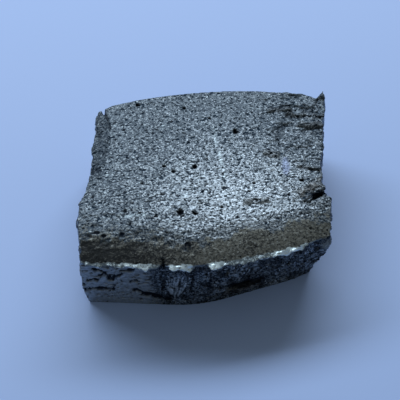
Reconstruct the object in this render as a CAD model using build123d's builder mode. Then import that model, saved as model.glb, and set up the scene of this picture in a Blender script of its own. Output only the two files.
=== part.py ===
"""Broken piece of a cast dysprosium ingot, lying on its flat underside.

One cast solid: a crowned cast skin on top, a smooth shoulder rolled over towards
the front, a rounded rim, a front face that bends in three facets, two ragged broken
ends with a flake and a tear, and a back face curved as the mould wall was.

The rim carries a lip of drawn metal in three lengths, the skin has its larger pits and
torn folds, and the front face a hollow near its foot.

Frame: +Z up, X along the longest side, the rolled shoulder towards -Y. The origin is
the middle of the bounding box, at the underside. Millimetres and degrees.
"""

import os
from math import asin, cos, radians, sin, sqrt

from build123d import *

# Plan of the block at the rim, from its front left corner
LENGTH = 38.7  # between the two broken ends, along the front
LEFT_DEPTH = 30.6  # front to back along the left end
RIGHT_DEPTH = 28.3  # front to back along the right end
LEFT_SPLAY = 1.05  # the left end runs inwards by this on its way back
RIGHT_SPLAY = -0.05  # the right end runs outwards by this
BEND_SHARE = 0.47  # of the length, where the first two facets of the front face would meet
BEND_OUT = 1.0  # how far in front of the left corner they would meet
LAST_FACET_WIDTH = 4.9  # from where the front turns once more to the right corner
TURN_BACK = 2.75  # how far behind the left corner that is
BEND_RADIUS = 25.0
FRONT_SKEW = 5.3  # the right corner lies this far behind the left one
BACK_BULGE = 1.85  # rise of the back's arc over its chord

# Heights
THICKNESS = 14.5  # underside to the top of the crown
CROWN_RADIUS = 350.0
ANKLE_HEIGHT = 4.2  # the broken sides turn in below this
BELLY_HEIGHT = 8.2  # they stand out most here
RIM_HEIGHT_LEFT = 11.7
RIM_HEIGHT_BEND = 12.0
RIM_HEIGHT_TURN = 11.85
RIM_HEIGHT_RIGHT = 11.7

# Rolled shoulder and rim
SHOULDER_RADIUS = 12.0
SHOULDER_DROP = 2.45  # from the end of the roll down to the rim
RIM_RADIUS = 0.7  # rounds the rim off into the front face
RIM_OVERRUN = 0.15  # the rounding ends this far outside the front plan

# How far the sides stand out from the plan, level by level
BELLY_OUT = {"left": 0.5, "front_left": 0.0, "bend": 0.0, "turn": -0.1, "front_right": 0.0}
BELLY_OUT |= {"right": 0.4, "back": -0.2}
ANKLE_OUT = {"left": 0.6, "front_left": 0.0, "bend": -0.1, "turn": -1.0, "front_right": -0.5}
ANKLE_OUT |= {"right": -0.9, "back": -0.6}
FOOT_OUT = {"left": -0.1, "front_left": -0.3, "bend": -0.45, "turn": -1.9, "front_right": -0.9}
FOOT_OUT |= {"right": -2.1, "back": -1.2}

# Share of the ragged steps that reaches each level
BELLY_RAGGED = 0.8
ANKLE_RAGGED = 0.6
FOOT_RAGGED = 0.45

# Broken ends: (share of the way from the front corner to the back one, step outwards)
RIGHT_BREAK = [(0.05, 0.35), (0.09, 0.1), (0.21, 0.65), (0.237, -0.25), (0.27, 0.05), (0.315, -0.75)]
RIGHT_BREAK += [(0.41, -0.8), (0.55, -0.25), (0.625, 0.05), (0.77, 0.2), (0.86, 0.7), (0.95, 1.2)]
LEFT_BREAK = [(0.125, 0.65), (0.255, 1.3), (0.353, 1.15), (0.503, 0.2), (0.618, 0.0), (0.725, 0.5)]
LEFT_BREAK += [(0.88, 0.2), (0.96, 0.55)]

# Torn horn at the back right corner, each place given from that corner
HORN_TIP = (0.8, 0.9)
HORN_DIP = (-0.6, -0.5)
BACK_ARC_END = (-2.8, 0.5)

# Flake broken off the back of the left end
FLAKE_WIDTH = 2.2  # over the skin at the back corner
FLAKE_LENGTH = 18.0  # along the left end, to where it runs out
FLAKE_SLOPE = 20.0

# Tear in the skin, from the notch in the right end
TEAR_PLACE = 0.247  # share of the right end, from its front corner
TEAR_LENGTH = 6.6
TEAR_TURN = 35.0  # towards the front, away from square with the end
TEAR_WIDTH = 1.0
TEAR_DEPTH = 1.1

# Lip of metal drawn out along the rim
LIP_SHARES = [(0.01, 0.3), (0.34, 0.44), (0.49, 0.9)]  # of the rim, (start, end) of each length
LIP_REACHES = [0.4, 0.8, 0.7]  # of these lengths, in front of the rim
LIP_FALL = 0.3  # from the rim down to its outer edge
LIP_THICKNESS = 0.75  # at its root
LIP_EDGE = 0.3  # at its outer edge
LIP_ROOT = 0.3  # it goes this far into the block

# Larger pits of the skin, from its middle: (to the right, to the back, radius)
PITS = [(4.5, 7.5, 0.6), (-2.2, -0.4, 0.46), (-7.2, -0.15, 0.36), (-5.75, -1.25, 0.34), (-4.5, -9.5, 0.52)]
PITS += [(-2.15, -9.7, 0.46), (15.1, -2.9, 0.4), (-12.0, 13.8, 0.46), (-4.1, 12.9, 0.34), (-8.2, -10.3, 0.3)]
PITS += [(2.0, -8.5, 0.3), (-10.8, -3.7, 0.3), (7.4, -3.6, 0.3), (0.2, 10.5, 0.28)]
PIT_LIFT = 0.2  # share of the radius that a pit's middle lies above the skin

# Torn folds of the skin, from its middle: (to the right, to the back) of the two tips
FOLDS = [((10.0, 12.2), (14.4, 12.8)), ((13.0, 11.4), (20.3, 10.8)), ((14.8, 9.4), (20.3, 9.1))]
FOLDS += [((14.4, -0.1), (20.3, -1.0)), ((9.0, 2.8), (11.6, 2.1)), ((5.4, -7.5), (9.6, -6.9))]
FOLD_WIDTH = 0.4
FOLD_DEPTH = 0.4

# Hollow in the front face, near its foot
HOLLOW_SHARE = 0.46  # of the way from the bend to the turn
HOLLOW_HEIGHT = 3.3
HOLLOW_LENGTH = 7.2
HOLLOW_RADIUS = 1.25


def outline_corners(out):
    """Plan points of the front left, bend, turn, front right, back right and back left."""
    front_left = Vector(-out["left"], -out["front_left"])
    bend = Vector(BEND_SHARE * LENGTH, -BEND_OUT - out["bend"])
    turn = Vector(LENGTH - LAST_FACET_WIDTH, TURN_BACK - out["turn"])
    front_right = Vector(LENGTH + out["right"], FRONT_SKEW - out["front_right"])
    back_right = Vector(LENGTH - RIGHT_SPLAY + out["right"], FRONT_SKEW + RIGHT_DEPTH + out["back"])
    back_left = Vector(LEFT_SPLAY - out["left"], LEFT_DEPTH + out["back"])
    return front_left, bend, turn, front_right, back_right, back_left


def ragged(start, end, steps, share):
    """Points along a broken end, each stepped to the right of the way from start to end."""
    along = end - start
    outwards = Vector(along.Y, -along.X).normalized() * share
    return [start + along * place + outwards * step for place, step in steps]


def outline(height, out, share):
    """Closed plan outline of the block at one height."""
    front_left, bend, turn, front_right, back_right, back_left = outline_corners(out)
    right_end = ragged(front_right, back_right, RIGHT_BREAK, share)
    left_end = ragged(front_left, back_left, LEFT_BREAK, -share)
    horn = [back_right + Vector(*place) * share for place in (HORN_TIP, HORN_DIP)]
    arc_end = back_right + Vector(*BACK_ARC_END)
    chord = back_left - arc_end
    arc_middle = (arc_end + back_left) / 2 + Vector(chord.Y, -chord.X).normalized() * BACK_BULGE
    with BuildSketch(Plane.XY.offset(height)) as section:
        with BuildLine():
            FilletPolyline(front_left, bend, turn, front_right, radius=BEND_RADIUS)
            Polyline(front_right, *right_end, *horn, arc_end)
            ThreePointArc(arc_end, arc_middle, back_left)
            Polyline(back_left, *reversed(left_end), front_left)
        make_face()
    return section.sketch


AT_RIM = dict.fromkeys(FOOT_OUT, 0.0)
front_left, bend, turn, front_right, back_right, back_left = outline_corners(AT_RIM)
middle = (front_left + front_right + back_right + back_left) / 4
rim_left = front_left + Vector(0, 0, RIM_HEIGHT_LEFT)
rim_bend = bend + Vector(0, 0, RIM_HEIGHT_BEND)
rim_turn = turn + Vector(0, 0, RIM_HEIGHT_TURN)
rim_right = front_right + Vector(0, 0, RIM_HEIGHT_RIGHT)


def on_skin(place):
    """The point of the crowned skin above a plan point."""
    away = (place - middle).length
    return place + Vector(0, 0, THICKNESS - CROWN_RADIUS + sqrt(CROWN_RADIUS**2 - away**2))


with BuildPart() as block:
    foot = outline(0, FOOT_OUT, FOOT_RAGGED)
    ankle = outline(ANKLE_HEIGHT, ANKLE_OUT, ANKLE_RAGGED)
    belly = outline(BELLY_HEIGHT, BELLY_OUT, BELLY_RAGGED)
    skin = outline(THICKNESS, AT_RIM, 1)
    loft([foot, ankle, belly, skin], ruled=True)

    # Crowned cast skin
    with Locations(middle + Vector(0, 0, THICKNESS - CROWN_RADIUS)):
        Sphere(CROWN_RADIUS, rotation=(90, 0, 0), mode=Mode.INTERSECT)

    # Rolled shoulder, cut along the rim of the front's facets
    overrun = (rim_bend - rim_left).normalized() * THICKNESS
    far_overrun = (rim_right - rim_turn).normalized() * THICKNESS
    with BuildLine() as rim:
        FilletPolyline(rim_left - overrun, rim_bend, rim_turn, rim_right + far_overrun, radius=BEND_RADIUS)
    roll_depth = sqrt(2 * SHOULDER_RADIUS * SHOULDER_DROP - SHOULDER_DROP**2)
    roll_slope = asin(roll_depth / SHOULDER_RADIUS)
    rim_top = Vector(RIM_RADIUS * (1 - sin(roll_slope)) - RIM_OVERRUN, 0)
    rim_foot = Vector(-RIM_OVERRUN, -RIM_RADIUS * cos(roll_slope))
    roll_top = rim_top + Vector(roll_depth, SHOULDER_DROP)
    outside = [(roll_top.X, THICKNESS), (-THICKNESS, THICKNESS), (-THICKNESS, rim_foot.Y)]
    with BuildSketch(Plane(origin=rim.line @ 0, x_dir=(0, 1, 0), z_dir=rim.line % 0)) as shoulder:
        with BuildLine():
            RadiusArc(rim_top, roll_top, SHOULDER_RADIUS)
            TangentArc(rim_top, rim_foot, tangent=(-cos(roll_slope), -sin(roll_slope)))
            Polyline(roll_top, *outside, rim_foot)
        make_face()
    sweep(sections=shoulder.sketch, path=rim.line, mode=Mode.SUBTRACT)

    # Flake off the back of the left end
    flake_start = back_left + Vector(FLAKE_WIDTH, 0)
    flake_end = back_left + (front_left - back_left).normalized() * FLAKE_LENGTH
    flake_along = (flake_end - flake_start).normalized()
    flake_out = Vector(flake_along.Y, -flake_along.X)
    flake_normal = flake_out * sin(radians(FLAKE_SLOPE)) + Vector(0, 0, cos(radians(FLAKE_SLOPE)))
    flake_plane = Plane(origin=on_skin(flake_start), x_dir=flake_along, z_dir=flake_normal)
    split(bisect_by=flake_plane, keep=Keep.BOTTOM)

    # Tear in the skin, deepest at the right end
    right_end = back_right - front_right
    tear_start = front_right + right_end * TEAR_PLACE
    tear_along = Vector(-right_end.Y, right_end.X).normalized().rotate(Axis.Z, TEAR_TURN)
    tear_mouth = Plane(origin=on_skin(tear_start), x_dir=(tear_along.Y, -tear_along.X, 0), z_dir=tear_along)
    with BuildSketch(tear_mouth.offset(-TEAR_LENGTH / 6)) as mouth:
        with BuildLine():
            Polyline((-TEAR_WIDTH, TEAR_DEPTH), (0, -TEAR_DEPTH), (TEAR_WIDTH, TEAR_DEPTH), close=True)
        make_face()
    tear_tip = Vertex(*on_skin(tear_start + tear_along * TEAR_LENGTH))
    loft([mouth.sketch, tear_tip], mode=Mode.SUBTRACT)

    # Lip, in lengths along the rim
    with BuildLine() as lip_line:
        FilletPolyline(rim_left, rim_bend, rim_turn, rim_right, radius=BEND_RADIUS)
    for (start, end), reach in zip(LIP_SHARES, LIP_REACHES):
        path = lip_line.wire().trim(start, end)
        with BuildSketch(Plane(origin=path @ 0, x_dir=(0, 1, 0), z_dir=path % 0)) as lip:
            with BuildLine():
                root = [(LIP_ROOT, -LIP_THICKNESS), (LIP_ROOT, 0)]
                edge = [(-reach, -LIP_FALL), (-reach, -LIP_FALL - LIP_EDGE)]
                Polyline(*root, *edge, close=True)
            make_face()
        sweep(sections=lip.sketch, path=path)

    # Larger pits of the skin
    for right, back, radius in PITS:
        with Locations(on_skin(middle + Vector(right, back)) + Vector(0, 0, PIT_LIFT * radius)):
            Sphere(radius, rotation=(90, 0, 0), mode=Mode.SUBTRACT)

    # Torn folds, each a groove that runs out at both tips
    for tips in FOLDS:
        left_tip, right_tip = (on_skin(middle + Vector(*tip)) for tip in tips)
        along = (right_tip - left_tip).normalized()
        across = Plane(origin=(left_tip + right_tip) / 2, x_dir=(along.Y, -along.X, 0), z_dir=along)
        with BuildSketch(across) as groove:
            with BuildLine():
                Polyline((-FOLD_WIDTH, FOLD_DEPTH), (0, -FOLD_DEPTH), (FOLD_WIDTH, FOLD_DEPTH), close=True)
            make_face()
        for tip in (left_tip, right_tip):
            loft([groove.sketch, Vertex(*tip)], mode=Mode.SUBTRACT)

    # Hollow in the front face, turned about the way from the bend to the turn
    _, ankle_bend, ankle_turn, *_ = outline_corners(ANKLE_OUT)
    hollow_along = (ankle_turn - ankle_bend).normalized()
    hollow_middle = ankle_bend + (ankle_turn - ankle_bend) * HOLLOW_SHARE + Vector(0, 0, HOLLOW_HEIGHT)
    with BuildSketch(Plane(origin=hollow_middle, x_dir=hollow_along, z_dir=(0, 0, 1))) as spindle:
        with BuildLine():
            ThreePointArc((-HOLLOW_LENGTH / 2, 0), (0, HOLLOW_RADIUS), (HOLLOW_LENGTH / 2, 0))
            Line((HOLLOW_LENGTH / 2, 0), (-HOLLOW_LENGTH / 2, 0))
        make_face()
    revolve(spindle.sketch, axis=Axis(hollow_middle, hollow_along), mode=Mode.SUBTRACT)

box = block.part.bounding_box()
os.makedirs("parts", exist_ok=True)

with BuildPart() as ingot:
    add(block.part.moved(Location((-box.center().X, -box.center().Y, -box.min.Z))))

ingot.part.label = "ingot"
export_step(ingot.part, "parts/ingot.step")
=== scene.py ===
"""Broken piece of a cast dysprosium ingot, dressed for its picture.

The cast block is remeshed finely and takes the relief that its surfaces show: a pebbled
cast skin with pores and tears, a smooth rolled shoulder, a bright ragged rim, a broken
front and two broken ends. Surfaces are worked in millimetres and become meshes in metres.
"""

import logging
from collections.abc import Mapping
from dataclasses import dataclass, field
from enum import Enum
from math import cos, radians, sin
from typing import Any, NamedTuple

import bmesh
import bpy
import numpy as np
from mathutils import Matrix, Vector
from numpy.typing import NDArray


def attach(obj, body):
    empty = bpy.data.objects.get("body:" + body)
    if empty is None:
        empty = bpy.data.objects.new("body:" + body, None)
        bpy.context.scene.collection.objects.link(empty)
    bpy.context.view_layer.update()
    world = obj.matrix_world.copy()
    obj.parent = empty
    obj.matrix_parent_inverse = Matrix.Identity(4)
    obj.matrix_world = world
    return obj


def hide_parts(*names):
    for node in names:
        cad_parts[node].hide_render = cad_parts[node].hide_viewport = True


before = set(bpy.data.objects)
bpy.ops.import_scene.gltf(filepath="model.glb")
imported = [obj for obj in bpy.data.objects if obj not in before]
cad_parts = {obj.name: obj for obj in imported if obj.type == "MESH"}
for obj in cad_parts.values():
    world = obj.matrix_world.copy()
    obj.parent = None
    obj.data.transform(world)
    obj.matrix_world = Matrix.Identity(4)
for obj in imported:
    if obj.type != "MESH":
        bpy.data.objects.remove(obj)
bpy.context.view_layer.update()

LOG = logging.getLogger("ingot")
MM = 0.001
PER_MM = 1000.0

# Numbers that scatter the draws of neighbouring cells
CELL_STEPS = np.array([73856093, 19349663, 83492791])
SEED_STEP = 31
SALT_STEP = 2654435761
STIRRERS = (2246822519, 3266489917)
LOW_BITS = 0xFFFFFFFF

# What tells apart the draws made for one cell
MIDDLE_SALT = 11
SLOPE_SALT = 21
TONE_SALT = 31

# How far each octave of noise is moved, so that no two of them line up
OCTAVE_SHIFT = 17.3

# Where the share of a normal along an axis starts and ends to count as looking that way
TOP_STEP = (0.45, 0.72)
UNDER_STEP = (-0.5, -0.8)
FRONT_STEP = (0.45, 0.7)
BACK_STEP = (0.55, 0.8)
END_STEP = (0.5, 0.75)

# How far a dent's ragged edge reaches, in its half widths
DENT_REACH = 1.6

Field = NDArray[np.float64]
Colour = tuple[float, float, float]
Triple = tuple[float, float, float]
Pair = tuple[float, float]
Line = tuple[Pair, ...]
Ends = tuple[float, float, float, float]

# A run is both ends of a straight line and one number that goes with it
Run = tuple[float, float, float, float, float]


class Patch(Enum):
    """Parts of the surface that the finish tells apart, by the name of their mask."""

    SKIN = "skin"
    # Painted sheen: paler colour where the window's highlight falls
    PAINTED_SHEEN = "painted_sheen"
    BAND = "band"
    # Painted highlight on the lip, where it faces up
    LIP = "lip"
    # How white the painted highlight on the lip runs
    GLEAM = "gleam"
    SLATE = "slate"
    CRYSTAL = "crystal"
    GLINT = "glint"
    # Painted glints along the front's fibres
    FIBRE = "fibre"
    FLECK = "fleck"
    SMEAR = "smear"
    # Painted shade in pits, pores, cracks, creases, grooves and hollows, and a darker strip by the flake's
    # crack
    DARK_AND_SHADE = "dark_and_shade"
    RUST = "rust"


def smooth(low: float, high: float, value: Field) -> Field:
    """Steps softly from 0 at low to 1 at high.

    Args:
        low: Value at which the step starts.
        high: Value at which it ends; it may be the lower of the two.
        value: Where to take the step.

    Returns:
        The step's height at each value.
    """
    share = np.clip((value - low) / (high - low), 0.0, 1.0)
    return share * share * (3.0 - 2.0 * share)


def away_from_line(points: Field, line: Field) -> Field:
    """Distance from each point to a line of straight runs.

    Args:
        points: Places to measure from, one row each.
        line: The line's points, in as many dimensions.

    Returns:
        The least distance of each place.
    """
    best = np.full(len(points), np.inf)
    for start, end in zip(line[:-1], line[1:]):
        run = end - start
        share = np.clip((points - start) @ run / (run @ run), 0.0, 1.0)
        best = np.minimum(best, np.linalg.norm(points - start - share[:, None] * run, axis=1))
    return best


def placed(name: str, data: bpy.types.ID) -> bpy.types.Object:
    """Puts a new object into the scene.

    Args:
        name: Its name.
        data: Its mesh, light or camera.

    Returns:
        The object.
    """
    made = bpy.data.objects.new(name, data)
    bpy.context.scene.collection.objects.link(made)
    return made


class Bed(NamedTuple):
    """What a bed of packed stones gives at each point."""

    near: Field
    gap: Field
    tilt: Field
    tone: Field


@dataclass(frozen=True)
class Grain:
    """Repeatable noise in space, drawn from one seed."""

    seed: int

    def draw(self, cells: Field, salt: int) -> Field:
        """Draws one number from 0 to 1 for each whole-numbered cell.

        Args:
            cells: Cell places, one row each.
            salt: Tells apart the draws made for one cell.

        Returns:
            The numbers drawn.
        """
        places = cells.astype(np.int64)
        mixed = places @ CELL_STEPS + (self.seed * SEED_STEP + salt) * SALT_STEP
        mixed = (mixed ^ (mixed >> 15)) * STIRRERS[0] & LOW_BITS
        mixed = (mixed ^ (mixed >> 13)) * STIRRERS[1] & LOW_BITS
        return ((mixed ^ (mixed >> 16)) & LOW_BITS) / 2.0**32

    def waves(self, points: Field, pitch: float, octaves: int = 1, stretch: Triple = (1, 1, 1)) -> Field:
        """Soft noise from -1 to 1.

        Args:
            points: Where to take it, in millimetres.
            pitch: Width of its largest swells.
            octaves: How many times it is added at half the pitch and height.
            stretch: How far it is drawn out along each axis.

        Returns:
            The noise at each point.
        """
        total = np.zeros(len(points))
        weight = 1.0
        for octave in range(octaves):
            place = points / np.array(stretch) * 2.0**octave / pitch + OCTAVE_SHIFT * octave
            base = np.floor(place)
            part = place - base
            fade = part * part * part * (part * (part * 6.0 - 15.0) + 10.0)
            value = np.zeros(len(points))
            for corner in np.ndindex(2, 2, 2):
                share = np.prod(np.where(np.array(corner) == 1, fade, 1.0 - fade), axis=1)
                value += share * self.draw(base + corner, octave)
            total += weight * (2.0 * value - 1.0)
            weight *= 0.5
        return total / (2.0 - 2.0**(1 - octaves))

    def stones(self, points: Field, pitch: float, stretch: Triple = (1, 1, 1)) -> Bed:
        """Packed cells, like stones in a bed.

        Args:
            points: Where to look, in millimetres.
            pitch: Usual distance between two stones.
            stretch: How far the stones are drawn out along each axis.

        Returns:
            The distance to the nearest stone's middle and how much further the next one is, both
            in pitches, and the nearest stone's own tilt at the point and its own tone.
        """
        place = points / np.array(stretch) / pitch
        base = np.floor(place)
        near = np.full(len(points), np.inf)
        second = near.copy()
        tilt = np.zeros(len(points))
        tone = np.zeros(len(points))
        for corner in np.ndindex(3, 3, 3):
            cell = base + np.array(corner) - 1
            middle = cell + np.stack([self.draw(cell, MIDDLE_SALT + axis) for axis in range(3)], axis=1)
            offset = place - middle
            distance = np.linalg.norm(offset, axis=1)
            slope = np.stack([self.draw(cell, SLOPE_SALT + axis) for axis in range(3)], axis=1)
            slope = slope * 2.0 - 1.0
            nearer = distance < near
            second = np.where(nearer, near, np.minimum(second, distance))
            tilt = np.where(nearer, np.einsum("ij,ij->i", slope, offset), tilt)
            tone = np.where(nearer, self.draw(cell, TONE_SALT), tone)
            near = np.where(nearer, distance, near)
        return Bed(near, second - near, tilt, tone)


@dataclass
class Surface:
    """The block's fine surface while relief is worked into it, in millimetres."""

    points: Field
    normals: Field
    height: Field = field(init=False)
    shift: Field = field(init=False)
    masks: dict[Patch, Field] = field(init=False)

    def __post_init__(self) -> None:
        """Starts with no relief and empty masks."""
        self.height = np.zeros(len(self.points))
        self.shift = np.zeros_like(self.points)
        self.masks = {patch: np.zeros(len(self.points)) for patch in Patch}

    @property
    def top(self) -> Field:
        """Share of the surface that looks up."""
        return smooth(*TOP_STEP, self.normals[:, 2])

    @property
    def side(self) -> Field:
        """Share that looks sideways."""
        return 1.0 - self.top - self.under

    @property
    def under(self) -> Field:
        """Share that looks down."""
        return smooth(*UNDER_STEP, self.normals[:, 2])

    @property
    def front(self) -> Field:
        """Share that looks to the front."""
        return self.side * smooth(*FRONT_STEP, -self.normals[:, 1])

    @property
    def back(self) -> Field:
        """Share that looks to the back."""
        return self.side * smooth(*BACK_STEP, self.normals[:, 1])

    def stain(self, patch: Patch, amount: Field) -> None:
        """Raises a mask to the amount where it holds less."""
        self.masks[patch] = np.maximum(self.masks[patch], np.clip(amount, 0.0, 1.0))

    def dent(self, middle: Field, size: Field, depth: float, ragged: Field, dark: float = 1.0) -> None:
        """Sinks one dent into the surface and paints shade into it.

        Args:
            middle: Its middle.
            size: Its half widths along each axis.
            depth: How deep it goes.
            ragged: Noise that makes its edge uneven.
            dark: How dark the painted shade in its middle is.
        """
        close = np.flatnonzero(np.abs(self.points[:, 0] - middle[0]) < DENT_REACH * size[0])
        away = np.linalg.norm((self.points[close] - middle) / size, axis=1) * (1.0 + 0.4 * ragged[close])
        inside = np.clip(1.0 - away * away, 0.0, 1.0)
        self.height[close] -= depth * inside * np.sqrt(inside)
        dark_and_shade = self.masks[Patch.DARK_AND_SHADE]
        dark_and_shade[close] = np.maximum(dark_and_shade[close], dark * smooth(0.02, 0.5, inside))

    def on_top(self, x: float, y: float) -> Field:
        """The surface's point nearest below a plan place."""
        plan = np.linalg.norm(self.points[:, :2] - (x, y), axis=1)
        return self.points[np.argmin(plan + 100.0 * (self.normals[:, 2] < 0.3))]


@dataclass(frozen=True)
class Pores:
    """Small pores, scattered at random."""

    count: int
    seed: int
    least_width: float
    spread: float
    power: float
    stretch: Triple
    depth: float
    dark: float

    def sink(self, surface: Surface, where: NDArray[np.bool_], ragged: Field) -> None:
        """Sinks the pores, with painted shade in them.

        Args:
            surface: The surface to work on.
            where: Which points may be the middle of a pore.
            ragged: Noise that makes their edges uneven.
        """
        draw = np.random.default_rng(self.seed)
        for place in draw.choice(np.flatnonzero(where), self.count, replace=False):
            width = self.least_width + self.spread * draw.random() ** self.power
            size = width * np.array(self.stretch)
            surface.dent(surface.points[place], size, self.depth * width, ragged, self.dark)


@dataclass
class CastSkin:
    """The crowned top: pebbles, pores, larger pits, wrinkles and torn folds."""

    pebble_pitch: float = 0.36
    pebble_stretch: Triple = (1.35, 1.0, 1.0)
    pebble_height: float = 0.065
    grit_pitch: float = 0.27
    grit_height: float = 0.05
    swell_height: float = 0.06
    wrinkle_height: float = 0.27
    ripple_pitch: float = 0.95
    ripple_height: float = 0.1
    fold_height: float = 0.34
    crease_depth: float = 0.2
    ledge_height: float = 0.12
    filled_height: float = 0.36
    crack_depth: float = 0.15
    cleft_depth: float = 0.25
    pores: Pores = Pores(
        count=420, seed=20, least_width=0.08, spread=0.14, power=4.0,
        stretch=(1.6, 1.0, 1.3), depth=0.9, dark=0.9,
    )
    fleck_count: int = 90
    fleck_seed: int = 23
    fleck_half: Triple = (0.26, 0.17, 1.0)
    least_rough: float = 0.6
    sheen_middle: Pair = (5.4, -6.5)
    sheen_reach: Pair = (15.5, 10.8)
    band_edge: Line = (
        (-21.0, -12.9), (-14.3, -13.0), (-8.6, -13.6), (-5.6, -14.2), (-2.8, -14.5), (0.0, -13.6),
        (4.4, -11.9), (10.2, -10.9), (15.5, -9.5), (21.0, -8.1),
    )
    pits: tuple[Triple, ...] = (
        (4.7, 8.4, 0.62), (-2.0, 0.5, 0.46), (-7.0, 0.75, 0.36), (-5.55, -0.35, 0.34),
        (-4.3, -8.6, 0.55), (-1.95, -8.8, 0.46), (4.8, -9.6, 0.36), (-3.0, -14.3, 0.5),
        (-16.2, -12.8, 0.5), (15.3, -2.0, 0.4), (-11.8, 14.7, 0.46), (-3.9, 13.8, 0.32),
        (-17.2, -12.2, 0.45), (-13.4, -12.5, 0.42), (-8.0, -9.4, 0.3), (10.2, 4.3, 0.36),
        (2.2, -7.6, 0.3), (-10.6, -2.8, 0.3), (7.6, -2.7, 0.28), (0.4, 11.4, 0.26),
    )
    pit_stretch: Triple = (1.15, 0.9, 1.1)
    folds: tuple[Run, ...] = (
        (10.2, 13.1, 14.6, 13.7, 0.5), (13.2, 12.3, 20.5, 11.7, 0.4), (15.0, 10.3, 20.5, 10.0, 0.4),
        (14.6, 0.8, 20.5, -0.1, -0.3), (9.2, 3.7, 11.8, 3.0, 0.1), (5.6, -6.6, 9.8, -6.0, 0.4),
    )
    cleft: Line = ((15.6, -6.2), (20.8, -2.3))
    ridge: Line = ((15.4, -4.4), (19.8, -1.4))
    scratches: tuple[Run, ...] = (
        (2.0, 3.6, 2.35, 1.1, 0.6), (2.35, 1.1, 2.7, -1.8, 0.75), (1.1, 9.4, 1.55, 5.1, 0.3),
        (-12.9, -9.3, -9.8, -9.0, 0.4), (3.1, -4.6, 3.4, -8.0, 0.2),
    )
    rubbed: Pair = (12.8, 0.9)
    rubbed_half: Pair = (0.75, 2.0)
    grain: Grain = Grain(3)

    def edge_at(self, x: Field) -> Field:
        """How far back the smooth band reaches at each x."""
        places, edges = np.array(self.band_edge).T
        return np.interp(x, places, edges)

    def shape(self, surface: Surface) -> None:
        """Works the skin into the top of the surface.

        Args:
            surface: The surface to work on.
        """
        points = surface.points
        x, y = points[:, 0], points[:, 1]
        beyond = y - self.edge_at(x) + 1.1 * self.grain.waves(points, 2.6, 4)
        beyond = beyond + 1.5 * self.grain.waves(points, 0.9, 3)
        rough = surface.top * smooth(-1.6, 1.6, beyond)
        surface.stain(Patch.SKIN, rough)
        surface.stain(Patch.BAND, surface.top * smooth(1.0, -1.3, beyond))
        surface.stain(Patch.BAND, 0.4 * surface.top * smooth(5.5, 0.0, beyond) * smooth(3.0, -11.0, x))
        swell = self.grain.waves(points, 6.0, 2)
        # Painted sheen: a broad paler patch where the window's highlight falls on the top, and a ramp that
        # lightens the band towards the right
        across, back = ((points[:, :2] - self.sheen_middle) / self.sheen_reach).T
        painted_sheen = np.exp(-(across**2) - back**2) + 0.09 * swell
        surface.stain(Patch.PAINTED_SHEEN, painted_sheen * rough + 0.7 * (surface.top - rough) * smooth(-14.0, 0.0, x))
        bed = self.grain.stones(points, self.pebble_pitch, self.pebble_stretch)
        pebble = smooth(0.02, 0.4, bed.gap) * (1.0 - 0.5 * bed.near) * (0.8 + 0.4 * bed.tone)
        grit = self.grain.waves(points, self.grit_pitch, 2, (1.3, 1, 1))
        coarse = 0.6 + 0.55 * smooth(12.0, -9.0, y)
        surface.height += rough * coarse * (self.pebble_height * (pebble - 0.45) + self.grit_height * grit)
        surface.height += surface.top * self.swell_height * swell
        rippled = smooth(9.0, 1.0, x) * smooth(-4.0, -8.0, y)
        ripples = self.grain.waves(points, self.ripple_pitch, 2, (2.6, 1, 1))
        surface.height += rough * self.ripple_height * rippled * ripples
        # Painted shade in the crevices between the pebbles
        surface.stain(Patch.DARK_AND_SHADE, rough * smooth(0.15, 0.0, bed.gap) * smooth(0.1, -0.5, grit) * 0.6)
        self.wrinkle(surface, beyond)
        self.wrinkle_corner(surface)
        self.tear(surface)
        self.sink_pores(surface, rough)
        self.mark(surface, rough)

    def wrinkle(self, surface: Surface, beyond: Field) -> None:
        """Wrinkles the strip where the skin runs out on the band, most at the left: painted shade in
        troughs, painted sheen on crests.

        Args:
            surface: The surface to work on.
            beyond: How far each point lies behind the band's edge.
        """
        left = smooth(6.0, -8.0, surface.points[:, 0])
        strip = surface.top * np.exp(-((beyond / (0.9 + 1.5 * left)) ** 2)) * (0.35 + 0.65 * left)
        fold = self.grain.waves(surface.points, 0.85, 3, (1.7, 1, 1))
        surface.height += strip * self.wrinkle_height * fold
        surface.stain(Patch.DARK_AND_SHADE, 0.5 * strip * smooth(-0.15, -0.5, fold))
        surface.stain(Patch.PAINTED_SHEEN, 0.75 * strip * smooth(0.05, 0.45, fold))

    def wrinkle_corner(self, surface: Surface) -> None:
        """Wrinkles the skin near the right end, most in its back corner, with painted shade in the
        creases.

        Args:
            surface: The surface to work on.
        """
        points = surface.points
        x, y = points[:, 0], points[:, 1]
        corner = smooth(7.5, 13.0, x) * smooth(2.5, 7.0, y)
        edge = smooth(12.5, 17.0, x) * smooth(-7.0, -4.0, y) * smooth(4.5, 1.5, y)
        torn = surface.top * np.maximum(corner, 0.8 * edge)
        fold = self.grain.waves(points, 1.7, 4, (1.7, 1, 1))
        surface.height += torn * self.fold_height * fold
        crease = torn * smooth(0.16, 0.0, np.abs(fold + 0.12))
        surface.height -= self.crease_depth * crease
        surface.stain(Patch.DARK_AND_SHADE, 0.6 * crease)

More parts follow.
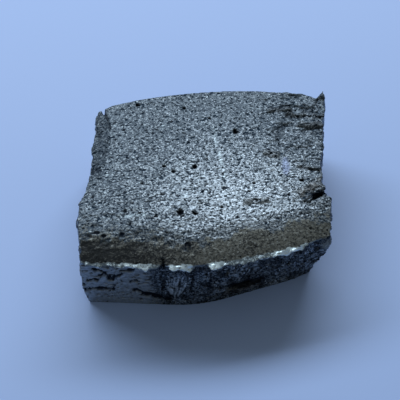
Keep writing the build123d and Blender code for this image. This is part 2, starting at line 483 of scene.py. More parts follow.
    def tear(self, surface: Surface) -> None:
        """Makes the torn folds ragged, closes parts of them and paints shade into their cracks and the
        deep cleft.

        Args:
            surface: The surface to work on.
        """
        points = surface.points
        plan = points[:, :2]
        sway = self.grain.waves(points, 1.7, 4)
        broken = self.grain.waves(points + 30.0, 1.1, 3)
        width = 0.26 + 0.2 * self.grain.waves(points, 1.1, 2)
        for x0, y0, x1, y1, closed in self.folds:
            line = np.array([(x0, y0), (x1, y1)])
            run = line[1] - line[0]
            along = (plan - line[0]) @ run / (run @ run)
            across = (plan - line[0]) @ np.array([-run[1], run[0]]) / np.linalg.norm(run)
            ends = surface.top * smooth(-0.08, 0.1, along) * smooth(1.08, 0.9, along)
            surface.shift[:, 1] += 0.55 * sway * ends * smooth(1.8, 0.6, np.abs(across))
            open_share = smooth(closed - 0.45, closed + 0.05, broken)
            crack = ends * open_share * smooth(1.0, 0.2, np.abs(across) / (width * (0.7 + along)))
            filled = ends * (1.0 - open_share) * smooth(0.65, 0.2, np.abs(across))
            ledge = ends * smooth(1.6, 0.3, across) * smooth(0.1, 0.4, across)
            raised = self.ledge_height * ledge + self.filled_height * filled
            surface.height += raised - self.crack_depth * crack
            surface.stain(Patch.DARK_AND_SHADE, 0.75 * crack)
            surface.stain(Patch.RUST, 0.3 * ends * smooth(0.8, 0.1, np.abs(across) + 0.5 * broken))
        upper = smooth(10.6, 11.4, points[:, 2])
        away = away_from_line(plan, np.array(self.cleft))
        cleft = upper * smooth(0.42, 0.12, away + 0.25 * broken)
        lumps = upper * smooth(2.4, 1.2, away) * (0.25 * broken + 0.15 * sway)
        surface.height += lumps - self.cleft_depth * cleft
        surface.stain(Patch.DARK_AND_SHADE, cleft)
        # The ridge is tinted brown, darkened in parts and loses most of its painted sheen
        ridge = upper * smooth(1.5, 0.4, away_from_line(plan, np.array(self.ridge)) + 0.5 * sway)
        surface.stain(Patch.RUST, 0.75 * ridge * smooth(-0.6, 0.2, broken))
        surface.stain(Patch.DARK_AND_SHADE, 0.3 * ridge * smooth(0.0, -0.4, broken))
        surface.masks[Patch.PAINTED_SHEEN] *= 1.0 - 0.8 * ridge

    def sink_pores(self, surface: Surface, rough: Field) -> None:
        """Sinks small pores at random and the larger pits at their places, with painted shade in them.

        Args:
            surface: The surface to work on.
            rough: Share of the surface that has the cast skin.
        """
        ragged = self.grain.waves(surface.points, 0.5, 2)
        self.pores.sink(surface, rough > self.least_rough, ragged)
        sway = self.grain.waves(surface.points, 0.7, 3)
        stray = self.grain.waves(surface.points + 20.0, 0.7, 3)
        for x, y, width in self.pits:
            away = np.linalg.norm(surface.points[:, :2] - (x, y), axis=1) / width
            around = surface.top * smooth(2.0, 0.9, away)
            surface.shift[:, 0] += 0.75 * width * around * sway
            surface.shift[:, 1] += 0.6 * width * around * stray
            size = width * np.array(self.pit_stretch)
            surface.dent(surface.on_top(x, y), size, 0.35 * width, ragged)
        LOG.info("skin: %d pores, %d pits", self.pores.count, len(self.pits))

    def mark(self, surface: Surface, rough: Field) -> None:
        """Brightens the scratches and small flecks, and tints a rubbed patch.

        Args:
            surface: The surface to work on.
            rough: Share of the surface that has the cast skin.
        """
        plan = surface.points[:, :2]
        broken = self.grain.waves(surface.points, 0.8, 2)
        for x0, y0, x1, y1, strength in self.scratches:
            away = away_from_line(plan, np.array([(x0, y0), (x1, y1)]))
            scratch = smooth(0.42, 0.12, away + 0.2 * broken) * smooth(-0.6, 0.1, broken)
            surface.stain(Patch.FLECK, strength * rough * scratch)
        patch = np.linalg.norm((plan - self.rubbed) / self.rubbed_half, axis=1) + 0.35 * broken
        surface.stain(Patch.SMEAR, rough * smooth(1.0, 0.5, patch))
        draw = np.random.default_rng(self.fleck_seed)
        places = np.flatnonzero(rough > self.least_rough)
        for place in draw.choice(places, self.fleck_count, replace=False):
            offset = (surface.points - surface.points[place]) / self.fleck_half
            away = np.linalg.norm(offset, axis=1)
            surface.stain(Patch.FLECK, 0.45 * smooth(1.0, 0.4, away))


@dataclass
class BrokenFlake:
    """The strip at the back of the left end, where a flake came away along a crack."""

    crack: Line = ((-18.2, 16.6), (-17.6, 13.9), (-16.5, 9.9), (-16.4, 4.5), (-17.4, -1.9))
    crack_depth: float = 0.3
    gap_depth: float = 1.4
    strip_height: float = 0.16
    grain: Grain = Grain(6)

    def shape(self, surface: Surface) -> None:
        """Opens the crack with painted shade in it, roughens and darkens the strip outside it, and takes
        the painted sheen off the strip.

        Args:
            surface: The surface to work on.
        """
        points = surface.points
        sway = self.grain.waves(points, 1.2, 3)
        line = np.array(self.crack)
        away = away_from_line(points[:, :2], line) + 0.25 * sway
        crack = surface.top * smooth(0.3, 0.05, away) * (0.35 + 0.65 * smooth(7.0, 11.0, points[:, 1]))
        surface.height -= self.crack_depth * crack
        surface.stain(Patch.DARK_AND_SHADE, 0.8 * crack)
        gap = smooth(0.42, 0.14, away) * smooth(12.8, 14.4, points[:, 1]) * smooth(9.5, 11.3, points[:, 2])
        surface.shift[:, 2] -= self.gap_depth * gap
        edge = np.interp(points[:, 1], line[::-1, 1], line[::-1, 0])
        strip = surface.top * smooth(0.2, -0.2, points[:, 0] - edge) * smooth(-3.5, 0.0, points[:, 1])
        surface.height += strip * self.strip_height * sway
        surface.masks[Patch.PAINTED_SHEEN] *= 1.0 - strip
        surface.stain(Patch.DARK_AND_SHADE, strip * (0.33 + 0.35 * smooth(0.1, -0.5, sway)))


@dataclass
class RolledBand:
    """The smooth, dark shoulder between the skin and the rim."""

    swell_height: float = 0.045
    grit_height: float = 0.025
    lump: Triple = (18.9, -11.8, 10.1)
    lump_size: Triple = (1.7, 1.7, 1.9)
    lump_height: float = 0.45
    pores: Pores = Pores(
        count=45, seed=21, least_width=0.11, spread=0.14, power=2.0,
        stretch=(1.0, 1.0, 1.0), depth=0.6, dark=0.8,
    )
    least_band: float = 0.7
    grain: Grain = Grain(8)

    def shape(self, surface: Surface) -> None:
        """Works faint swells, a lump at the right end and a few pores into the band.

        Args:
            surface: The surface to work on.
        """
        band = surface.masks[Patch.BAND]
        surface.height += band * self.swell_height * self.grain.waves(surface.points, 1.3, 4)
        surface.height += band * self.grit_height * self.grain.waves(surface.points, 0.4, 2)
        lump = smooth(1.0, 0.3, np.linalg.norm((surface.points - self.lump) / self.lump_size, axis=1))
        surface.height += self.lump_height * lump
        surface.stain(Patch.BAND, lump)
        # Painted sheen on the lump at the band's right end
        surface.stain(Patch.PAINTED_SHEEN, 0.9 * lump)
        ragged = self.grain.waves(surface.points, 0.5, 2)
        self.pores.sink(surface, band > self.least_band, ragged)


@dataclass
class BrightRim:
    """The lip of clean metal along the front's upper edge, made ragged, its brightness partly a painted
    highlight.
    """

    line: tuple[Triple, ...] = (
        (-21.0, -16.39, 11.67), (-4.9, -17.28, 11.94), (-1.25, -17.21, 11.98), (2.3, -16.63, 11.96),
        (11.4, -14.45, 11.88), (14.3, -13.56, 11.84), (17.1, -12.31, 11.77), (21.0, -10.29, 11.65),
    )
    reach: Line = (
        (-19.5, 0.9), (-14.0, 1.2), (-11.0, 1.2), (-9.5, 1.7), (-8.2, 1.1), (-7.4, 0.3), (-6.5, 0.3),
        (-5.6, 0.65), (-4.5, 1.0), (-3.6, 1.25), (-2.8, 0.9), (-2.2, 0.4), (-1.7, 0.15), (0.0, 0.3),
        (0.8, 1.0), (3.2, 0.8), (6.0, 1.0), (8.2, 0.8), (10.0, 0.8), (12.6, 0.7), (14.6, 0.5), (16.2, 0.2),
    )
    shine: Line = (
        (-19.5, 0.3), (-13.8, 0.35), (-13.0, 0.7), (-9.5, 0.65), (-8.6, 0.35), (-7.2, 0.3), (-6.6, 0.7),
        (-4.6, 1.0), (-2.7, 1.0), (-2.2, 0.2), (-0.2, 0.0), (0.3, 0.9), (2.6, 0.9), (3.3, 0.35),
        (10.2, 0.35), (10.8, 0.95), (12.8, 0.95), (13.1, 0.5), (13.4, 0.85), (15.0, 0.8), (15.6, 0.4),
        (17.5, 0.3), (18.2, 0.0),
    )
    facets: Line = ((-10.4, 1.1), (-3.6, 1.3), (1.6, 1.0), (8.8, 0.8), (11.8, 1.1), (14.2, 0.9))
    facet_slope: Pair = (0.32, 0.2)
    dapple_height: float = 0.13
    crack_x: float = -6.9
    crack_depth: float = 0.4
    grain: Grain = Grain(14)

    def shape(self, surface: Surface) -> None:
        """Makes the lip's reach and tilt uneven, paints a highlight on it, and opens the crack across it
        with painted shade.

        Args:
            surface: The surface to work on.
        """
        points = surface.points
        x = points[:, 0]
        line = np.array(self.line)
        out = np.interp(x, line[:, 0], line[:, 1]) - points[:, 1]
        below = np.interp(x, line[:, 0], line[:, 2]) - points[:, 2]
        along = points * (1.0, 0.0, 0.0)
        uneven = self.grain.waves(along, 0.8, 4)
        tilt = self.grain.waves(along + 40.0, 1.1, 3)
        dapple = self.grain.waves(points, 0.55, 3)
        zone = smooth(0.02, 0.15, out) * smooth(1.15, 0.85, below) * smooth(-0.4, -0.2, below)
        reach = np.interp(x, *np.array(self.reach).T) * (1.0 + 0.6 * uneven)
        surface.shift[:, 1] -= zone * out * (reach - 1.0)
        surface.shift[:, 2] += zone * (out * 0.5 * tilt + self.dapple_height * dapple)
        along_slope, out_slope = self.facet_slope
        for middle, half in self.facets:
            facet = zone * smooth(1.1, 0.7, np.abs(x - middle) / half)
            surface.shift[:, 2] -= facet * (along_slope * (x - middle) + out_slope * out)
        # Painted highlight: the lip is whiter where it faces up and where the shine table runs high
        lit = smooth(0.05, 0.4, surface.normals[:, 2])
        clean = smooth(-0.2, 0.05, out + 0.25 * dapple) * smooth(0.95, 0.7, below)
        clean = clean * smooth(-0.3, -0.1, below)
        shine = np.interp(x, *np.array(self.shine).T)
        surface.stain(Patch.LIP, lit * clean * smooth(0.0, 0.15, shine))
        surface.stain(Patch.GLEAM, shine + 0.3 * uneven + 0.4 * dapple)
        near = smooth(1.5, 0.8, away_from_line(points, line))
        crack = near * smooth(0.36, 0.08, np.abs(x - self.crack_x + 0.3 * dapple))
        surface.height -= self.crack_depth * crack
        surface.stain(Patch.DARK_AND_SHADE, crack)
        surface.masks[Patch.LIP] *= 1.0 - crack
        # Painted shade on the bare rim beside the crack and at the right end
        bare = np.maximum(smooth(1.3, 0.6, np.abs(x - self.crack_x - 0.5)), smooth(14.0, 15.5, x))
        bare = near * bare * smooth(0.0, 0.25, out) * (1.0 - surface.masks[Patch.LIP])
        surface.stain(Patch.DARK_AND_SHADE, 0.8 * bare)


@dataclass
class BrokenFront:
    """The broken front face: slate at the left, feathered in the middle, crystalline at the right."""

    slate_end: float = -9.0
    crystal_start: float = 0.5
    crystal_pitch: float = 0.9
    glint_pitch: float = 0.3
    net_pitch: float = 0.55
    hollow: Triple = (6.3, -14.8, 3.6)
    hollow_size: Triple = (4.4, 2.2, 1.8)
    hollow_depth: float = 0.3
    foot: Line = ((3.1, 1.8), (5.8, 1.7), (8.6, 2.0))
    cuts: tuple[Run, ...] = (
        (-18.3, 4.6, -15.1, 4.7, 0.45), (-11.3, 4.5, -8.7, 2.9, 0.55), (-8.7, 2.9, -6.3, 1.6, 0.6),
        (-17.5, 9.8, -16.3, 9.5, 0.34), (-14.9, 7.9, -13.3, 8.8, 0.32), (-19.0, 6.7, -17.4, 7.2, 0.28),
        (-12.1, 6.8, -11.1, 7.8, 0.18), (-13.1, 9.6, -11.5, 10.6, 0.34), (-19.6, 4.2, -19.2, 4.6, 0.36),
    )
    hole_depth: float = 0.35
    slate_swell: float = 0.05
    crystal_tilt: float = 0.36
    glint_tilt: float = 0.1
    groove_depth: float = 0.14
    net_depth: float = 0.25
    spark: Pair = (-15.3, 8.4)
    spark_half: Pair = (0.16, 0.5)
    fibres: tuple[Ends, ...] = (
        (-6.5, 7.6, -5.9, 3.6), (-6.1, 8.8, -5.7, 4.2), (-5.6, 8.2, -5.6, 2.6), (-5.1, 9.0, -5.4, 5.2),
        (-4.9, 7.2, -5.3, 2.2), (-4.4, 9.2, -4.9, 4.4), (-3.9, 8.6, -4.6, 3.2), (-3.3, 7.4, -4.2, 4.2),
    )
    fibre_half: float = 0.15
    fibre_height: float = 0.12
    streak_height: float = 0.24
    fan_lean: float = 0.12
    fan_foot: float = 6.0
    grain: Grain = Grain(25)

    def shape(self, surface: Surface) -> None:
        """Works the break's relief into the front face.

        Args:
            surface: The surface to work on.
        """
        points = surface.points
        x = points[:, 0] + 1.6 * self.grain.waves(points, 3.0, 2)
        bare = surface.front * (1.0 - surface.masks[Patch.LIP]) * (1.0 - surface.masks[Patch.BAND])
        slate = bare * smooth(self.slate_end + 2.5, self.slate_end - 1.0, x)
        crystal = bare * smooth(self.crystal_start - 3.5, self.crystal_start + 1.0, x)
        feather = np.clip(bare - slate - crystal, 0.0, 1.0)
        surface.stain(Patch.SLATE, slate)
        surface.stain(Patch.CRYSTAL, crystal + feather)
        self.open_holes(surface, bare, slate)
        self.feather(surface, feather)
        self.crystals(surface, crystal, feather)
        ragged = self.grain.waves(points, 1.1, 3)
        # Painted shade in the hollow
        surface.dent(np.array(self.hollow), np.array(self.hollow_size), self.hollow_depth, ragged, 0.95)
        foot = smooth(0.7, 0.2, away_from_line(points[:, [0, 2]], np.array(self.foot)) + 0.4 * ragged)
        surface.stain(Patch.RUST, bare * foot)

    def open_holes(self, surface: Surface, bare: Field, slate: Field) -> None:
        """Sinks the longer cuts and the scattered ragged holes of the smooth left part, with painted shade
        in them.

        Args:
            surface: The surface to work on.
            bare: Share of the front that the lip and band leave free.
            slate: Share of it that is smooth.
        """
        points = surface.points
        ragged = self.grain.waves(points, 0.45, 3, (1.5, 1, 1))
        sway = np.stack([self.grain.waves(points + away, 1.0, 2) for away in (9.0, 21.0)], axis=1)
        face = points[:, [0, 2]] + 0.5 * sway
        hole = slate * smooth(0.24, 0.34, ragged + 0.25 * self.grain.waves(points, 2.5))
        for x0, z0, x1, z1, half in self.cuts:
            away = away_from_line(face, np.array([(x0, z0), (x1, z1)])) / half
            hole = np.maximum(hole, bare * smooth(1.1, 0.8, away + 1.5 * ragged))
        surface.height -= self.hole_depth * hole
        surface.height += slate * self.slate_swell * self.grain.waves(points, 1.6, 3)
        surface.stain(Patch.DARK_AND_SHADE, hole)
        spark = np.linalg.norm((face - self.spark) / self.spark_half, axis=1)
        surface.stain(Patch.GLINT, bare * smooth(1.0, 0.5, spark))

    def feather(self, surface: Surface, feather: Field) -> None:
        """Draws upright fibres with painted glints down the middle part, the brightest in one fan, and
        painted shade between streaks.

        Args:
            surface: The surface to work on.
            feather: Share of the front that is fibrous.
        """
        points = surface.points
        fan = points.copy()
        fan[:, 0] -= self.fan_lean * (points[:, 2] - self.fan_foot)
        face = points[:, [0, 2]] + 0.12 * self.grain.waves(points, 0.9, 2)[:, None]
        streaks = self.grain.waves(fan, 0.5, 2, (1, 1, 6))
        lines = [away_from_line(face, np.reshape(ends, (2, 2))) for ends in self.fibres]
        fibre = feather * smooth(1.5, 0.4, np.min(lines, axis=0) / self.fibre_half)
        fibre *= smooth(-0.45, 0.15, self.grain.waves(points + 50.0, 0.75, 3))
        surface.height += feather * (self.streak_height * streaks - 0.1) + self.fibre_height * fibre
        surface.stain(Patch.FIBRE, 0.9 * fibre)
        surface.stain(Patch.DARK_AND_SHADE, 0.85 * feather * smooth(-0.05, -0.35, streaks) * (1.0 - fibre))

    def crystals(self, surface: Surface, crystal: Field, feather: Field) -> None:
        """Breaks the right part into facets, some with painted glints, and nets the middle with small
        holes; grooves and holes get painted shade.

        Args:
            surface: The surface to work on.
            crystal: Share of the front that is in facets.
            feather: Share of it that is fibrous.
        """
        coarse = self.grain.stones(surface.points, self.crystal_pitch, (1, 1, 1.3))
        fine = self.grain.stones(surface.points, self.glint_pitch)
        net = self.grain.stones(surface.points, self.net_pitch)
        groove = smooth(0.2, 0.0, coarse.gap)
        tilt = self.crystal_tilt * coarse.tilt + self.glint_tilt * fine.tilt
        surface.height += crystal * (tilt - self.groove_depth * groove - 0.08)
        surface.stain(Patch.DARK_AND_SHADE, 0.7 * crystal * groove)
        surface.stain(Patch.GLINT, crystal * smooth(0.55, 1.0, fine.tone) * smooth(0.15, 0.6, coarse.tone))
        dark = self.grain.waves(surface.points, 1.5, 3, (1.4, 1, 1))
        dark = (crystal + feather) * smooth(-0.02, -0.32, dark) * (1.0 - surface.masks[Patch.FIBRE])
        surface.stain(Patch.DARK_AND_SHADE, 0.8 * dark)
        middle = np.maximum(feather, crystal * smooth(4.0, 0.0, surface.points[:, 0]))
        hole = middle * smooth(0.55, 0.3, net.near) * smooth(0.3, 0.5, net.tone)
        hole *= 1.0 - surface.masks[Patch.FIBRE]
        surface.height -= self.net_depth * hole
        surface.stain(Patch.DARK_AND_SHADE, 0.9 * hole)


@dataclass
class BrokenEnds:
    """The two broken ends, in coarse steps and grains."""

    step_pitch: float = 2.4
    step_tilt: float = 0.32
    chip_pitch: float = 0.8
    chip_tilt: float = 0.15
    groove_depth: float = 0.1
    edge_wave: float = 0.32
    spike: Pair = (20.1, 17.8)
    spike_height: float = 0.8
    grain: Grain = Grain(31)

    def shape(self, surface: Surface) -> None:
        """Works steps and grains into both ends, with painted shade in the grooves, and draws the horn's
        tip out.

        Args:
            surface: The surface to work on.
        """
        points = surface.points
        ends = surface.side * smooth(*END_STEP, np.abs(surface.normals[:, 0])) * (1.0 - surface.front)
        step = self.grain.stones(points, self.step_pitch)
        chip = self.grain.stones(points, self.chip_pitch)
        groove = smooth(0.2, 0.0, chip.gap)
        tilt = self.step_tilt * step.tilt + self.chip_tilt * chip.tilt
        surface.height += ends * (tilt - self.groove_depth * groove - 0.05)
        edge = smooth(13.5, 18.0, np.abs(points[:, 0])) * (1.0 - surface.front)
        edge = edge * smooth(0.2, 1.5, points[:, 2])
        wave = self.grain.waves(points * (0.2, 1.0, 0.6), 1.7, 3)
        surface.shift[:, 0] += self.edge_wave * edge * wave * np.sign(points[:, 0])
        away = np.linalg.norm(points[:, :2] - self.spike, axis=1)
        surface.shift[:, 2] += self.spike_height * smooth(1.8, 0.4, away) * smooth(9.0, 11.5, points[:, 2])
        surface.stain(Patch.SLATE, ends)
        surface.stain(Patch.CRYSTAL, 0.6 * ends)
        surface.stain(Patch.DARK_AND_SHADE, 0.5 * ends * smooth(0.16, 0.0, chip.gap))
        surface.stain(Patch.GLINT, 0.3 * ends * smooth(0.7, 0.95, chip.tone))


@dataclass
class MouldWall:
    """The back face and the underside, as the mould left them."""

    dimple_height: float = 0.05
    grain: Grain = Grain(40)

    def shape(self, surface: Surface) -> None:
        """Works a faint dimpling into the back face and greys it and the underside.

        Args:
            surface: The surface to work on.
        """
        dimples = self.grain.waves(surface.points, 1.3, 3)
        surface.height += surface.back * self.dimple_height * dimples
        surface.stain(Patch.SLATE, 0.75 * np.maximum(surface.back, surface.under))


class Shade:
    """A node socket that takes part in Python expressions."""

    def __init__(self, bench: "Bench", socket: bpy.types.NodeSocket) -> None:
        """Holds the socket.

        Args:
            bench: Where the nodes of its expressions are made.
            socket: The socket it stands for.
        """
        self.bench = bench
        self.socket = socket

    def __add__(self, other: "Shade | float") -> "Shade":
        """Sum of two values."""
        return self.bench.maths("ADD", self, other)

    __radd__ = __add__

    def __sub__(self, other: "Shade | float") -> "Shade":
        """Difference of two values."""
        return self.bench.maths("SUBTRACT", self, other)

    def __rsub__(self, other: "Shade | float") -> "Shade":
        """Difference with the plain number first."""
        return self.bench.maths("SUBTRACT", other, self)

    def __mul__(self, other: "Shade | float") -> "Shade":
        """Product of two values."""
        return self.bench.maths("MULTIPLY", self, other)

    __rmul__ = __mul__

    def clear(self, low: float, high: float) -> "Shade":
        """Steps softly from 0 at low to 1 at high.

        Args:
            low: Value at which the step starts.
            high: Value at which it ends; it may be the lower of the two.

        Returns:
            The step.
        """
        settings = {"interpolation_type": "SMOOTHSTEP"}
        inputs = {"Value": self, "From Min": low, "From Max": high}
        return self.bench.node("ShaderNodeMapRange", settings, inputs, "Result")


class Bench:
    """A material's node tree while it is put together."""

    def __init__(self, material: bpy.types.Material) -> None:
        """Empties the material's tree.

        Args:
            material: The material to work on.
        """
        material.use_nodes = True
        self.tree = material.node_tree
        self.tree.nodes.clear()

    def add(self, kind: str, settings: Mapping[str, Any], inputs: Mapping[Any, Any]) -> bpy.types.Node:
        """Adds one node.

        Args:
            kind: The node's type.
            settings: Its own settings, set before its sockets.
            inputs: Values or links of its sockets, by name or number.

        Returns:
            The node.
        """
        made = self.tree.nodes.new(kind)
        for name, value in settings.items():
            setattr(made, name, value)
        for name, value in inputs.items():
            if isinstance(value, Shade):
                self.tree.links.new(value.socket, made.inputs[name])
            else:
                made.inputs[name].default_value = value
        return made

    def node(
        self, kind: str, settings: Mapping[str, Any], inputs: Mapping[Any, Any], output: str | int
    ) -> Shade:
        """Adds one node and gives the named or numbered one of its outputs."""
        return Shade(self, self.add(kind, settings, inputs).outputs[output])

    def maths(self, operation: str, first: Shade | float, second: Shade | float) -> Shade:
        """Adds a Math node."""
        return self.node("ShaderNodeMath", {"operation": operation}, {0: first, 1: second}, 0)

    def mix(self, share: Shade, first: Shade | Colour, second: Shade | Colour) -> Shade:
        """Mixes two colours.

        Args:
            share: How much of the second colour shows.
            first: The colour at 0.
            second: The colour at 1.

        Returns:
            The mixed colour.
        """
        colours = [item if isinstance(item, Shade) else (*item, 1.0) for item in (first, second)]
        settings = {"data_type": "RGBA", "clamp_factor": True}
        return self.node("ShaderNodeMix", settings, {0: share, 6: colours[0], 7: colours[1]}, 2)

    def mask(self, patch: Patch) -> Shade:
        """Reads one of the surface's masks."""
        return self.node("ShaderNodeAttribute", {"attribute_name": patch.value}, {}, "Fac")

    def cells(self, place: Shade, scale: float) -> Shade:
        """One tone from 0 to 1 for each small angular cell, with a number of cells to the millimetre."""
        inputs = {"Vector": place, "Scale": scale}
        return self.node("ShaderNodeTexVoronoi", {"feature": "F1"}, inputs, "Color")

    def noise(self, place: Shade, scale: float, detail: float, rough: float) -> Shade:
        """Soft noise from 0 to 1, with a number of swells to the millimetre."""
        inputs = {"Vector": place, "Scale": scale, "Detail": detail, "Roughness": rough}
        return self.node("ShaderNodeTexNoise", {}, inputs, 0)


@dataclass(frozen=True)
class CastMetal:
    """The finish of the whole piece: cast metal, clean at the rim under a painted highlight, and dark
    where it broke, partly from painted shade.
    """

    pale: Colour = (0.54, 0.645, 0.75)
    mid: Colour = (0.042, 0.066, 0.092)
    deep: Colour = (0.008, 0.022, 0.042)
    band: Colour = (0.018, 0.024, 0.03)
    band_pale: Colour = (0.195, 0.212, 0.2)
    bright: Colour = (0.7, 0.88, 1.0)
    grey: Colour = (0.14, 0.19, 0.235)
    slate: Colour = (0.25, 0.3, 0.35)
    slate_deep: Colour = (0.15, 0.18, 0.21)
    shadow: Colour = (0.007, 0.015, 0.025)
    facet: Colour = (0.3, 0.36, 0.42)
    glint: Colour = (0.5, 0.57, 0.63)
    black: Colour = (0.002, 0.005, 0.012)
    brown: Colour = (0.11, 0.095, 0.072)
    lavender: Colour = (0.2, 0.26, 0.43)
    rough_skin: float = 0.44
    rough_band: float = 0.55
    rough_bright: float = 0.24
    metallic: float = 0.5
    bump_height: float = 0.18
    bump_strength: float = 0.9
    squeeze: Triple = (0.75, 1.0, 1.0)
    grit_scale: float = 2.8
    speck_scale: float = 2.4
    fine_scale: float = 6.0
    cloud_scale: float = 0.2
    tone_scale: float = 5.0

    def material(self) -> bpy.types.Material:
        """Makes the material.

        Returns:
            A metal that reads the surface's masks.
        """
        made = bpy.data.materials.new("cast_dysprosium")
        bench = Bench(made)
        place = bench.node("ShaderNodeTexCoord", {}, {}, "Object")
        inputs = {0: place, "Scale": PER_MM}
        place = bench.node("ShaderNodeVectorMath", {"operation": "SCALE"}, inputs, 0)
        skin, painted_sheen, band, lip, gleam, slate, crystal, *others = map(bench.mask, Patch)
        glint, fibre, fleck, smear, dark_and_shade, rust = others
        inputs = {0: place, 1: self.squeeze}
        wide = bench.node("ShaderNodeVectorMath", {"operation": "MULTIPLY"}, inputs, 0)
        grit = bench.noise(wide, self.grit_scale, 3.0, 0.65)
        speck = bench.noise(wide, self.speck_scale, 0.0, 0.5)
        fine = bench.noise(place, self.fine_scale, 1.0, 0.6)
        cloud = bench.noise(place, self.cloud_scale, 3.0, 0.5)
        tone = bench.cells(wide, self.tone_scale)

        share = (0.3 * grit + 0.3 * fine + 0.5 * tone).clear(0.32, 0.56)
        colour = bench.mix(share, self.deep, self.mid)
        # Painted sheen: the pale grains grow where the window's highlight falls
        share = (0.9 * fine + 0.65 * tone + 0.35 * painted_sheen - 0.66).clear(0.1, 0.85)
        colour = bench.mix(share, colour, self.pale)
        # Painted sheen also lightens the band and scatters pale specks on it
        share = (0.8 * fine + 0.6 * tone + 0.4 * cloud + 0.5 * painted_sheen - 0.75).clear(0.15, 0.75)
        band_colour = bench.mix(share, self.band, self.band_pale)
        share = (0.7 * tone + 0.6 * fine).clear(0.8, 0.95) * (0.3 * painted_sheen)
        band_colour = bench.mix(share, band_colour, self.pale)
        colour = bench.mix((band + 0.7 * tone + 0.5 * fine - 0.6).clear(0.3, 0.7), colour, band_colour)
        slate_colour = bench.mix(grit.clear(0.3, 0.6), self.slate_deep, self.slate)
        colour = bench.mix(slate, colour, slate_colour)
        crystal_colour = bench.mix((0.6 * tone + 0.6 * fine).clear(0.5, 0.8), self.shadow, self.facet)
        colour = bench.mix(crystal, colour, crystal_colour)
        colour = bench.mix(glint * 0.8, colour, self.glint)
        # Painted glints along the fibres
        colour = bench.mix(fibre * (0.5 + fine), colour, self.glint)
        colour = bench.mix(rust * 0.5, colour, self.brown)
        colour = bench.mix(fleck * (0.2 + 1.2 * tone), colour, self.bright)
        colour = bench.mix(smear * (0.3 + 0.6 * tone), colour, self.lavender)
        # Painted highlight: the lip's grey turns white where it gleams
        share = (gleam + 1.1 * fine + 0.5 * tone - 0.8).clear(0.3, 0.75)
        lip_colour = bench.mix(share, self.grey, self.bright)
        colour = bench.mix(lip.clear(0.1, 0.5), colour, lip_colour)
        # Painted shade: small dark specks over the skin, for the shade in its pores
        hole = skin * (0.7 * speck + 0.15 * fine + 0.15 * tone).clear(0.41, 0.33)
        colour = bench.mix(hole * 0.85, colour, self.deep)
        # Painted shade in pits, cracks, creases and hollows, and the flake's darker strip
        colour = bench.mix(dark_and_shade * 0.95, colour, self.black)

        rough = self.rough_skin + band * (self.rough_band - self.rough_skin) + 0.2 * fine - 0.1
        rough = rough - lip * (self.rough_skin - self.rough_bright) + 0.25 * dark_and_shade + 0.25 * hole
        metal = self.metallic - 0.1 * band - 0.05 * lip + 0.1 * slate + 0.3 * crystal
        metal = metal + 0.5 * dark_and_shade + 0.4 * hole
        relief = 0.5 * speck + 0.4 * grit + 0.2 * tone - 0.3 * hole
        distance = self.bump_height * MM
        inputs = {"Strength": self.bump_strength, "Distance": distance, "Height": relief}
        bump = bench.node("ShaderNodeBump", {}, inputs, "Normal")
        inputs = {"Base Color": colour, "Roughness": rough, "Metallic": metal, "Normal": bump}
        surface = bench.node("ShaderNodeBsdfPrincipled", {}, inputs, "BSDF")
        bench.add("ShaderNodeOutputMaterial", {}, {"Surface": surface})
        return made


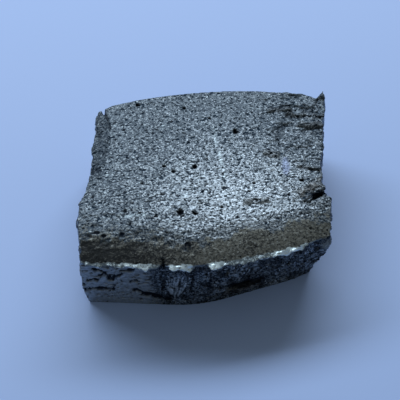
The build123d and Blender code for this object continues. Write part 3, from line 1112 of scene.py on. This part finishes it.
@dataclass
class IngotPiece:
    """The broken ingot piece, in place of the plain block."""

    node_name: str = "ingot"
    slot_name: str = "cast_metal"
    weld_distance: float = 1e-4
    voxel: float = 0.155
    ground_height: float = 0.35
    flat_below: float = 0.02
    most_triangles: int = 196000
    finish: CastMetal = CastMetal()
    skin: CastSkin = field(default_factory=CastSkin)
    flake: BrokenFlake = field(default_factory=BrokenFlake)
    band: RolledBand = field(default_factory=RolledBand)
    rim: BrightRim = field(default_factory=BrightRim)
    front: BrokenFront = field(default_factory=BrokenFront)
    ends: BrokenEnds = field(default_factory=BrokenEnds)
    wall: MouldWall = field(default_factory=MouldWall)

    def remeshed(self) -> bpy.types.Mesh:
        """Remeshes the plain block into small even faces.

        Returns:
            The fine mesh, in millimetres.
        """
        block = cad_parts[self.node_name]
        mesh = bpy.data.meshes.new("block_mm")
        corners = [block.matrix_world @ vertex.co * PER_MM for vertex in block.data.vertices]
        mesh.from_pydata(corners, [], [tuple(face.vertices) for face in block.data.polygons])
        weld = bmesh.new()
        weld.from_mesh(mesh)
        bmesh.ops.remove_doubles(weld, verts=weld.verts, dist=self.weld_distance)
        weld.to_mesh(mesh)
        weld.free()
        return self.through(mesh, "REMESH", {"mode": "VOXEL", "voxel_size": self.voxel, "adaptivity": 0.0})

    def through(self, mesh: bpy.types.Mesh, kind: str, settings: Mapping[str, Any]) -> bpy.types.Mesh:
        """Passes a mesh through one modifier.

        Args:
            mesh: The mesh to change; it is removed.
            kind: The modifier's type.
            settings: The modifier's settings.

        Returns:
            The changed mesh.
        """
        holder = placed("holder", mesh)
        modifier = holder.modifiers.new(kind.lower(), kind)
        for name, value in settings.items():
            setattr(modifier, name, value)
        result = holder.evaluated_get(bpy.context.evaluated_depsgraph_get())
        changed = bpy.data.meshes.new_from_object(result)
        bpy.data.objects.remove(holder)
        bpy.data.meshes.remove(mesh)
        return changed

    def shape(self, mesh: bpy.types.Mesh) -> None:
        """Works all the relief into a fine mesh.

        Args:
            mesh: The fine mesh, in millimetres; its points are moved and it takes the masks.
        """
        points = np.empty(3 * len(mesh.vertices))
        mesh.vertices.foreach_get("co", points)
        normals = np.empty(3 * len(mesh.vertices))
        mesh.vertex_normals.foreach_get("vector", normals)
        surface = Surface(points.reshape(-1, 3), normals.reshape(-1, 3))
        for part in (self.skin, self.flake, self.band, self.rim, self.front, self.ends, self.wall):
            part.shape(surface)
        ground = smooth(0.0, self.ground_height, surface.points[:, 2]) * (1.0 - surface.under)
        moved = surface.points + surface.normals * (surface.height * ground)[:, None] + surface.shift
        moved[:, 2] = np.maximum(moved[:, 2], 0.0)
        mesh.vertices.foreach_set("co", moved.ravel())
        for patch, mask in surface.masks.items():
            mesh.attributes.new(patch.value, "FLOAT", "POINT").data.foreach_set("value", mask)
        mesh.update()

    def flat_underside(self, mesh: bpy.types.Mesh) -> None:
        """Joins the underside's small faces into one and cuts all faces into triangles.

        Args:
            mesh: The shaped mesh, in millimetres; it is changed.
        """
        work = bmesh.new()
        work.from_mesh(mesh)
        low = [face for face in work.faces if max(corner.co.z for corner in face.verts) < self.flat_below]
        bmesh.ops.dissolve_faces(work, faces=low, use_verts=False)
        bmesh.ops.triangulate(work, faces=work.faces)
        work.to_mesh(mesh)
        work.free()

    def build(self) -> bpy.types.Object:
        """Builds the piece, in metres.

        Returns:
            The finished object.
        """
        mesh = self.remeshed()
        self.shape(mesh)
        self.flat_underside(mesh)
        ratio = min(1.0, self.most_triangles / len(mesh.polygons))
        mesh = self.through(mesh, "DECIMATE", {"decimate_type": "COLLAPSE", "ratio": ratio})
        mesh.transform(Matrix.Scale(MM, 4))
        mesh.name = "cast_piece"
        mesh.shade_smooth()
        return placed("cast_piece", mesh)

    def dress(self, piece: bpy.types.Object) -> None:
        """Gives the piece its finish and its place in the frame.

        Args:
            piece: The finished object.
        """
        piece.data.materials.clear()
        piece.data.materials.append(self.finish.material())
        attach(piece, "root")
        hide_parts(self.node_name)
        LOG.info("cast_piece: %d triangles", len(piece.data.polygons))


@dataclass
class Floor:
    """The plain pale surface that the piece lies on."""

    half_width: float = 2.0
    colour: Colour = (0.33, 0.475, 0.82)
    rough: float = 0.6

    def build(self) -> None:
        """Builds and dresses the floor."""
        reach = self.half_width
        mesh = bpy.data.meshes.new("floor")
        corners = [(-reach, -reach, 0), (reach, -reach, 0), (reach, reach, 0), (-reach, reach, 0)]
        mesh.from_pydata(corners, [], [(0, 1, 2, 3)])
        floor = placed("floor", mesh)
        material = bpy.data.materials.new("pale_floor")
        material.use_nodes = True
        shader = material.node_tree.nodes["Principled BSDF"]
        shader.inputs["Base Color"].default_value = (*self.colour, 1.0)
        shader.inputs["Roughness"].default_value = self.rough
        mesh.materials.append(material)


@dataclass
class Window:
    """A large soft light and the room's own light."""

    azimuth: float = 104.0
    elevation: float = 43.5
    distance: float = 0.6
    width: float = 1.0
    height: float = 0.17
    power: float = 4.9
    colour: Colour = (0.87, 0.94, 1.0)
    room: Colour = (0.95, 0.97, 0.9)
    room_strength: float = 0.2

    def build(self) -> None:
        """Hangs the light and sets the room's colour."""
        lamp = bpy.data.lights.new("window", "AREA")
        lamp.shape = "RECTANGLE"
        lamp.size = self.width
        lamp.size_y = self.height
        lamp.energy = self.power
        lamp.color = self.colour
        holder = placed("window", lamp)
        turn, rise = radians(self.azimuth), radians(self.elevation)
        place = Vector((cos(turn) * cos(rise), sin(turn) * cos(rise), sin(rise))) * self.distance
        holder.location = place
        holder.rotation_euler = (-place).to_track_quat("-Z", "Y").to_euler()
        world = bpy.data.worlds.new("room")
        world.use_nodes = True
        back = world.node_tree.nodes["Background"]
        back.inputs["Color"].default_value = (*self.room, 1.0)
        back.inputs["Strength"].default_value = self.room_strength
        bpy.context.scene.world = world


@dataclass
class PictureCamera:
    """The camera at the picture's place, looking down at the piece's front."""

    eye: Triple = (-1.169, -106.807, 143.081)
    target: Triple = (-1.169, 4.98, 0.0)
    view_angle: float = 22.0
    nearest: float = 0.005

    def build(self) -> None:
        """Sets up the camera."""
        lens = bpy.data.cameras.new("picture")
        lens.sensor_fit = "HORIZONTAL"
        lens.angle = radians(self.view_angle)
        lens.clip_start = self.nearest
        camera = placed("picture", lens)
        eye, target = Vector(self.eye) * MM, Vector(self.target) * MM
        camera.location = eye
        camera.rotation_euler = (target - eye).to_track_quat("-Z", "Y").to_euler()
        bpy.context.scene.camera = camera


def main() -> None:
    """Builds the camera, the light, the floor and the piece."""
    logging.basicConfig(level=logging.INFO)
    bpy.context.scene.view_settings.view_transform = "Standard"
    PictureCamera().build()
    Window().build()
    Floor().build()
    ingot = IngotPiece()
    ingot.dress(ingot.build())


if __name__ == "__main__":
    main()
